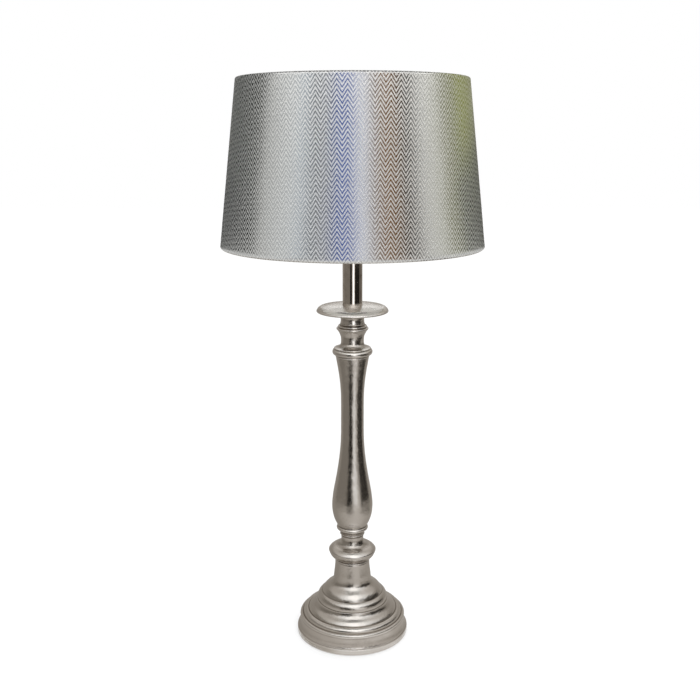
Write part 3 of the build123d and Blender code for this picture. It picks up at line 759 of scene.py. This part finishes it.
def layWeave(piece, outer):
    # the cloth is woven flat and cut as a sector, so its threads run straight there and break at the seam
    segments, skinStart = shade["segments"], shade["hemSteps"] + shade["rollSteps"] - 2
    along = np.concatenate([[0], np.cumsum(np.hypot(*np.diff(np.array(outer), axis=0).T))])
    runs = np.concatenate([along, along[::-1]])
    mesh = piece.data
    corners = np.zeros(len(mesh.loops), np.int64)
    mesh.loops.foreach_get("vertex_index", corners)
    ring, steps = corners // segments, (corners % segments).reshape(-1, 4)
    # the last strip on the front ends at the full turn, and the left half counts backwards from there
    wraps = (steps.max(1) - steps.min(1)) > segments / 2
    steps = np.where(wraps[:, None] & (steps == 0), segments, steps)
    leftHalf = steps.min(1) >= segments // 2
    around = (steps - leftHalf[:, None] * segments).reshape(-1) * 2 * math.pi / segments
    widening = shade["bottomRadius"] - shade["topRadius"]
    narrowing = widening / math.hypot(widening, shade["height"])
    reach = outer[skinStart][0] / narrowing + along[skinStart]
    slant = reach - runs[ring]
    turn = around * narrowing
    uv = np.stack([slant * np.sin(turn), reach - slant * np.cos(turn)], 1).astype(np.float32)
    mesh.uv_layers.new(name="weave").data.foreach_set("uv", uv.ravel())


def makeShade():
    outer, inner = shadeLine()
    line = outer + inner[::-1]
    angles = stepAngles(shade["segments"])
    heights = np.array([point[1] for point in line])
    waves = ripple(angles, heights, shade["middleRadius"], shade["swaySize"], shade["seed"])
    # the cloth may only stand a hair out of true, and not at all where the wires hold it
    free = np.sin(np.clip((heights - shade["bottom"]) / shade["height"], 0, 1) * math.pi) ** 0.5
    offsets = (waves * shade["sway"] * free[:, None]).clip(-shade["swayMost"], 0)
    lap = np.abs(angles - math.pi) * shade["middleRadius"] < shade["seam"] / 2
    skin = np.zeros(len(line))
    skinStart = shade["hemSteps"] + shade["rollSteps"] - 2
    skin[skinStart : skinStart + shade["rows"]] = shade["lap"]
    offsets += np.outer(skin, lap)
    piece = spin("foilShade", line, shade["segments"], offsets, closed=True)
    layWeave(piece, outer)
    return piece


foil["period"] = 2 * math.pi * shadeRadius(shade["height"] / 2) / foil["columns"]
cloth = makeShade()
dress(cloth, foilWeave())
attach(cloth, "shade")
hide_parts("shade_cover")
print("shade covered")


# finishes of the pieces that keep their own shape
smallParts = {
    "whiteLiner": {
        "nodes": ["shade_liner"], "light": (0.83, 0.825, 0.80), "dark": (0.76, 0.755, 0.73),
        "grain": 240, "roughness": 0.42, "spread": 0.12, "relief": 0.00004,
    },
    "whiteEpoxy": {
        "nodes": ["bottom_ring", "top_ring", "shade_arms", "fitter_ring"],
        "light": (0.80, 0.80, 0.78), "dark": (0.70, 0.70, 0.68),
        "grain": 900, "roughness": 0.34, "spread": 0.14, "relief": 0.00004,
    },
    "whiteMoulding": {
        "nodes": ["holder_cap", "holder_skirt", "switch_block", "bar_bushings", "shade_ring"],
        "light": (0.78, 0.78, 0.76), "dark": (0.70, 0.70, 0.68),
        "grain": 1300, "roughness": 0.40, "spread": 0.12, "relief": 0.00002,
    },
    "barMoulding": {
        "nodes": ["push_bar"], "light": (0.80, 0.80, 0.77), "dark": (0.70, 0.70, 0.67),
        "grain": 700, "roughness": 0.26, "spread": 0.10, "relief": 0.00002,
    },
    "glazedCeramic": {
        "nodes": ["holder_core"], "light": (0.80, 0.78, 0.73), "dark": (0.68, 0.66, 0.61),
        "grain": 420, "roughness": 0.16, "spread": 0.08, "relief": 0.00003,
    },
    "plainBrass": {
        "nodes": ["terminal_screws", "screw_shell", "centre_contact", "bulb_contact"],
        "light": (0.72, 0.55, 0.26), "dark": (0.48, 0.34, 0.14), "metallic": 1.0,
        "grain": 500, "roughness": 0.28, "spread": 0.16, "relief": 0.00002,
    },
    "bulbMetal": {
        "nodes": ["bulb_cap"], "light": (0.74, 0.74, 0.75), "dark": (0.55, 0.55, 0.56), "metallic": 1.0,
        "grain": 500, "roughness": 0.27, "spread": 0.14, "relief": 0.00002,
    },
    "blackGlass": {
        "nodes": ["bulb_insulator"], "light": (0.012, 0.012, 0.015), "dark": (0.03, 0.03, 0.035),
        "grain": 300, "roughness": 0.10, "spread": 0.06, "relief": 0.00002,
    },
    "opalGlass": {
        "nodes": ["bulb_glass"], "light": (0.86, 0.86, 0.84), "dark": (0.80, 0.80, 0.78),
        "grain": 60, "roughness": 0.14, "spread": 0.05, "relief": 0.00003,
        "extra": {
            "Coat Weight": 0.6, "Coat Roughness": 0.05,
            "Subsurface Weight": 0.15, "Subsurface Scale": 0.004,
        },
    },
    "zincPlate": {
        "nodes": ["rod_washer", "rod_nut", "tie_rod", "holder_grub_screw"],
        "light": (0.62, 0.64, 0.66), "dark": (0.42, 0.44, 0.45), "metallic": 1.0,
        "grain": 650, "roughness": 0.32, "spread": 0.18, "relief": 0.00003,
    },
    "ballastPaint": {
        "nodes": ["ballast_weight"], "light": (0.035, 0.035, 0.036), "dark": (0.075, 0.072, 0.07),
        "grain": 380, "roughness": 0.62, "spread": 0.20, "relief": 0.0004,
    },
    "grommetMoulding": {
        "nodes": ["cord_grommet"], "light": (0.10, 0.098, 0.095), "dark": (0.14, 0.137, 0.13),
        "grain": 1200, "roughness": 0.45, "spread": 0.14, "relief": 0.00003,
    },
    "platedCap": {
        "nodes": ["tube_cap"], "light": (0.60, 0.56, 0.515), "dark": (0.40, 0.36, 0.32), "metallic": 1.0,
        "grain": 240, "roughness": 0.24, "spread": 0.12, "relief": 0.00003,
    },
}


def plainFinish(name, facts, broader=12, ends=(0.38, 0.72)):
    # shared make-up of the small parts' finishes: two tones, uneven gloss and a fine relief
    r = Recipe(name)
    place = r.place()
    fine = r.grain(facts["grain"], 3, 0.6, place)
    broad = r.grain(facts["grain"] / broader, 2, 0.5, place)
    tone = (fine * 0.6 + broad * 0.4).ease(*ends)
    return r.finish({
        "Base Color": r.mix(facts["light"], facts["dark"], tone),
        "Metallic": facts.get("metallic", 0.0),
        "Roughness": facts["roughness"] + (fine - 0.5) * facts["spread"],
        "Normal": r.relief(fine, facts["relief"]),
        **facts.get("extra", {}),
    })


for finishName, facts in smallParts.items():
    finish = plainFinish(finishName, facts)
    for node in facts["nodes"]:
        dress(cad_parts[node], finish)
print("finishes set on", sum(len(facts["nodes"]) for facts in smallParts.values()), "nodes")

# studio: pale floor, soft lamps and the walls that the metal and the foil mirror
studio = {
    "floor": 0.92, "floorDark": 0.90, "floorGrain": 260, "floorReach": 8, "floorDrop": 0.0001,
    "floorWhite": 1.05, "floorFade": (0.02, 0.5, 0.5, 1.0), "world": 0.75, "sky": (0.97, 0.98, 1.0),
    "aim": (0, 0, 0.35), "wallStep": 1.5, "warmth": (0.12, 0.0, -0.15),
    "table": {
        "ends": ((0.084, 0.0004), (0.50, 0.0004)), "tiers": 24, "faces": "up",
        "base": [
            (-180, 0.40), (-150, 0.30), (-105, 0.31), (-75, 0.40), (-45, 0.48), (0, 0.57), (20, 0.61),
            (60, 0.54), (90, 0.44), (135, 0.36), (180, 0.40),
        ],
        "cards": [
            {"turn": (-20, 60), "place": (0.05, 0.105), "level": 0.85, "soft": (24, 0.02)},
            {"turn": (-31, 0), "place": (0.40, 0.60), "level": 0.05, "soft": (5, 0.04)},
            {"turn": (48, 112), "place": (0.40, 0.60), "level": 0.06, "soft": (8, 0.04)},
        ],
    },
    "shelf": {
        "ends": ((0.13, 0.045), (0.499, 0.045)), "tiers": 2, "faces": "down",
        "base": [
            (-180, 0.40), (-120, 0.36), (-75, 0.42), (-40, 0.52), (0, 0.58), (25, 0.60), (60, 0.52),
            (90, 0.42), (130, 0.36), (180, 0.40),
        ],
    },
    "standWall": {
        "ends": ((0.50, 0.0), (0.50, 0.566)), "tiers": 40, "faces": "in",
        "base": [
            (-180, 0.40), (-150, 0.32), (-90, 0.30), (-45, 0.37), (-15, 0.36), (5, 0.50), (20, 0.60),
            (40, 0.52), (60, 0.44), (90, 0.30), (120, 0.31), (150, 0.38), (180, 0.40),
        ],
        "cards": [
            {"turn": (-110, -26), "place": (0.08, 0.26), "level": 0.22, "soft": (16, 0.03)},
            {"turn": (-31, 0), "place": (0.07, 0.26), "level": 0.0, "soft": (4, 0.025)},
            {"turn": (8, 31), "place": (0.085, 0.26), "level": 0.95, "soft": (6, 0.03)},
            {"turn": (48, 112), "place": (0.085, 0.26), "level": 0.03, "soft": (8, 0.03)},
            {"turn": (60, 110), "place": (0.26, 0.39), "level": 0.42, "soft": (12, 0.03)},
            {"turn": (-110, -5), "place": (0.39, 0.49), "level": 0.22, "soft": (6, 0.02)},
            {"turn": (-28, -5), "place": (0.37, 0.49), "level": 0.02, "soft": (4, 0.02)},
            {"turn": (-2, 21), "place": (0.26, 0.40), "level": 1.30, "soft": (5, 0.03)},
            {"turn": (3, 20), "place": (0.39, 0.50), "level": 2.40, "soft": (4, 0.02)},
            {"turn": (-30, -7), "place": (0.28, 0.38), "level": 0.03, "soft": (4, 0.02)},
            {"turn": (25, 92), "place": (0.275, 0.38), "level": 0.03, "soft": (5, 0.02)},
            {"turn": (84, 132), "place": (0.39, 0.49), "level": 0.17, "soft": (6, 0.02)},
            {"turn": (26, 86), "place": (0.37, 0.49), "level": 0.02, "soft": (5, 0.02)},
            {"turn": (28, 110), "place": (0.49, 0.60), "level": 0.22, "soft": (8, 0.01)},
            {"turn": (-110, -30), "place": (0.27, 0.39), "level": 0.22, "soft": (12, 0.03)},
            {"turn": (-5, 24), "place": (0.49, 0.60), "level": 1.50, "soft": (6, 0.01)},
        ],
    },
    "lowLid": {
        "ends": ((0.20, 0.385), (0.499, 0.385)), "tiers": 2, "faces": "down",
        "base": [
            (-180, 0.70), (-140, 0.48), (-100, 0.50), (-70, 0.62), (-45, 0.90), (-25, 1.30), (0, 1.60),
            (25, 1.50), (50, 1.00), (75, 0.80), (100, 0.60), (125, 0.48), (150, 0.60), (180, 0.70),
        ],
    },
    "lid": {
        "ends": ((0.181, 0.566), (0.50, 0.566)), "tiers": 24, "faces": "down",
        "base": [
            (-180, 0.78), (-165, 0.46), (-140, 0.34), (-100, 0.44), (-70, 0.62), (-45, 0.85), (-25, 1.40),
            (0, 1.75), (30, 1.55), (55, 0.95), (80, 0.80), (105, 0.60), (125, 0.44), (150, 0.62),
            (180, 0.78),
        ],
        "cards": [
            {"turn": (160, 200), "place": (0.17, 0.30), "level": 1.40, "soft": (14, 0.04)},
            {"turn": (-52, -38), "place": (0.42, 0.50), "level": 0.20, "soft": (6, 0.02)},
        ],
    },
    "shadeWall": {
        "ends": ((1.00, 0.30), (1.00, 1.35)), "tiers": 24, "faces": "in",
        "bands": [
            (-180, (0.20, 0.20, 0.19)), (-150, (0.08, 0.08, 0.07)), (-125, (0.03, 0.032, 0.026)),
            (-87, (0.04, 0.042, 0.036)), (-77, (0.46, 0.46, 0.45)), (-66, (0.52, 0.53, 0.53)),
            (-50, (0.60, 0.62, 0.63)), (-42, (0.54, 0.60, 0.66)), (-36, (0.32, 0.35, 0.38)),
            (-30, (0.20, 0.21, 0.22)), (-22, (0.30, 0.31, 0.33)), (-16, (0.16, 0.18, 0.25)),
            (-11, (0.11, 0.17, 0.46)), (-1, (0.13, 0.18, 0.42)), (4, (0.70, 0.73, 0.84)),
            (10, (0.78, 0.80, 0.86)), (16, (0.30, 0.27, 0.25)), (27, (0.23, 0.12, 0.045)),
            (37, (0.16, 0.082, 0.032)), (42, (0.045, 0.042, 0.038)), (48, (0.06, 0.058, 0.055)),
            (55, (0.38, 0.38, 0.37)), (62, (0.66, 0.66, 0.64)), (76, (0.58, 0.58, 0.52)),
            (86, (0.28, 0.28, 0.20)), (99, (0.22, 0.225, 0.10)), (113, (0.27, 0.295, 0.035)),
            (128, (0.24, 0.255, 0.06)), (150, (0.26, 0.26, 0.17)), (180, (0.22, 0.22, 0.20)),
        ],
        "cards": [
            {"turn": (98, 178), "place": (0.20, 0.76), "level": 0.015, "soft": (22, 0.12)},
            {"turn": (-175, -88), "place": (0.20, 0.70), "level": 0.02, "soft": (16, 0.12)},
            {"turn": (-76, 84), "place": (1.14, 1.60), "level": 2.30, "soft": (16, 0.08)},
        ],
    },
    "brim": {
        "ends": ((0.179, 0.5665), (0.999, 0.5665)), "tiers": 42, "faces": "up", "like": "shadeWall",
        "cards": [
            {"turn": (-84, 96), "place": (0.0, 0.25), "level": 0.62, "soft": (20, 0.06)},
            {"turn": (88, 182), "place": (0.0, 1.2), "level": 0.015, "soft": (20, 0.1)},
            {"turn": (-182, -88), "place": (0.0, 1.2), "level": 0.03, "soft": (16, 0.1)},
        ],
    },
    "canopy": {
        "ends": ((0.02, 1.349), (0.999, 1.349)), "tiers": 12, "faces": "down", "like": "shadeWall",
        "cards": [{"turn": (-190, 190), "place": (-0.2, 0.70), "level": 0.26, "soft": (1, 0.2)}],
    },
    "lamps": [
        {"name": "softKey", "place": (0.9, -2.1, 2.3), "power": 40, "size": 1.6},
        {"name": "softFill", "place": (-1.6, -1.6, 1.7), "power": 8, "size": 1.6},
        {"name": "softTop", "place": (0.2, 0.9, 2.6), "power": 26, "size": 1.8},
    ],
}


def makeFloor():
    corners = [
        (x * studio["floorReach"], y * studio["floorReach"], -studio["floorDrop"])
        for x, y in ((-1, -1), (1, -1), (1, 1), (-1, 1))
    ]
    floor = meshObject("studioFloor", corners, [(0, 1, 2, 3)], False)
    r = Recipe("studioFloor")
    path = r.node("ShaderNodeLightPath", output="Is Camera Ray")
    x, y, _ = r.axes(r.place())
    share = (x * x + y * y).ease(*studio["floorFade"])
    speck = r.grain(studio["floorGrain"], 2)
    paper = r.node("ShaderNodeBsdfDiffuse", inputs={
        "Color": r.mix((studio["floor"],) * 3, (studio["floorDark"],) * 3, speck),
    })
    glow = {"Color": (1.0, 1.0, 1.0), "Strength": studio["floorWhite"]}
    white = r.node("ShaderNodeEmission", inputs=glow)
    above = r.node("ShaderNodeMixShader", inputs={0: path * share, 1: paper, 2: white})
    # clear from below, so that the underside of the foot can be seen
    behind = r.node("ShaderNodeNewGeometry", output="Backfacing")
    clear = r.node("ShaderNodeBsdfTransparent")
    seen = r.node("ShaderNodeMixShader", inputs={0: behind, 1: above, 2: clear})
    r.node("ShaderNodeOutputMaterial", inputs={"Surface": seen})
    dress(floor, r.owner)


def between(spots, ends, soft):
    # 1 inside a card, 0 outside, with a soft edge
    share = ((np.minimum(spots - ends[0], ends[1] - spots)) / soft + 0.5).clip(0, 1)
    return share * share * (3 - 2 * share)


def cardGlow(facts, turns, places):
    # level of light over a wall, by degrees from the front and by height or radius
    bands = facts.get("bands") or studio.get(facts.get("like"), {}).get("bands")
    stops = bands or [(turn, (level,) * 3) for turn, level in facts["base"]]
    glow = np.stack([
        np.interp(turns, [stop[0] for stop in stops], [stop[1][k] for stop in stops]) for k in range(3)
    ], -1)
    for card in facts.get("cards", []):
        middle = sum(card["turn"]) / 2
        away = (turns - middle + 180) % 360 - 180 + middle
        share = between(away, card["turn"], card["soft"][0])
        share = share * between(places, card["place"], card["soft"][1])
        glow = glow + (card["level"] - glow) * share[..., None]
    if bands:
        return glow
    # what the metal mirrors is warmer where it is dimmer
    warm = (1 - glow).clip(0, 1)
    return glow * (1 + warm * np.array(studio["warmth"]))


def makeWall(name, facts):
    # glowing wall, lid or card round the lamp; only mirrors see it, and only from its own side
    turns = np.arange(-180, 180.1, studio["wallStep"])
    shares = np.linspace(0, 1, facts["tiers"])
    (startR, startZ), (endR, endZ) = facts["ends"]
    turn, share = np.meshgrid(turns, shares, indexing="ij")
    radius, height = startR + (endR - startR) * share, startZ + (endZ - startZ) * share
    places = height if facts["faces"] == "in" else radius
    glow = cardGlow(facts, turn, places)
    angle = np.radians(turn)
    points = np.stack([radius * np.sin(angle), -radius * np.cos(angle), height], -1).reshape(-1, 3)
    tiers, faces = facts["tiers"], []
    for column in range(len(turns) - 1):
        for tier in range(tiers - 1):
            corner = column * tiers + tier
            face = (corner, corner + tiers, corner + tiers + 1, corner + 1)
            faces.append(face[::-1] if facts["faces"] in ("in", "up") else face)
    wall = meshObject(name, points.tolist(), faces, False)
    colours = np.concatenate([glow, np.ones(glow.shape[:2] + (1,))], -1).astype(np.float32)
    layer = wall.data.color_attributes.new("glow", "FLOAT_COLOR", "POINT")
    layer.data.foreach_set("color", colours.ravel())
    r = Recipe(name)
    light = r.node("ShaderNodeEmission", inputs={"Color": r.stored("glow", "Color"), "Strength": 1.0})
    behind = r.node("ShaderNodeNewGeometry", output="Backfacing")
    clear = r.node("ShaderNodeBsdfTransparent")
    both = r.node("ShaderNodeMixShader", inputs={0: behind, 1: light, 2: clear})
    r.node("ShaderNodeOutputMaterial", inputs={"Surface": both})
    r.owner.cycles.emission_sampling = "NONE"
    dress(wall, r.owner)
    wall.visible_camera = False
    wall.visible_diffuse = False
    wall.visible_shadow = False
    wall.visible_transmission = False


def makeWorld():
    world = bpy.data.worlds.new("studioWorld")
    scene.world = world
    r = Recipe("studioWorld", world)
    path = r.node("ShaderNodeLightPath")
    outputs = path.socket.node.outputs
    mirrored = (Flow(r, outputs["Is Camera Ray"]) + Flow(r, outputs["Is Glossy Ray"])
                + Flow(r, outputs["Is Transmission Ray"])).least(1)
    white = r.node("ShaderNodeBackground", inputs={"Color": (1.0, 1.0, 1.0), "Strength": 1.0})
    soft = r.node("ShaderNodeBackground", inputs={"Color": studio["sky"], "Strength": studio["world"]})
    both = r.node("ShaderNodeMixShader", inputs={0: mirrored, 1: soft, 2: white})
    r.node("ShaderNodeOutputWorld", inputs={"Surface": both})


def makeLamps():
    for facts in studio["lamps"]:
        light = bpy.data.lights.new(facts["name"], "AREA")
        light.energy = facts["power"]
        light.size = facts["size"]
        lamp = bpy.data.objects.new(facts["name"], light)
        lamp.location = facts["place"]
        away = lamp.location - Vector(studio["aim"])
        lamp.rotation_euler = away.to_track_quat("Z", "Y").to_euler()
        lamp.visible_glossy = False
        scene.collection.objects.link(lamp)


makeFloor()
for wallName in ("table", "shelf", "standWall", "lowLid", "lid", "shadeWall", "brim", "canopy"):
    makeWall(wallName, studio[wallName])
makeWorld()
makeLamps()
print("studio lit")
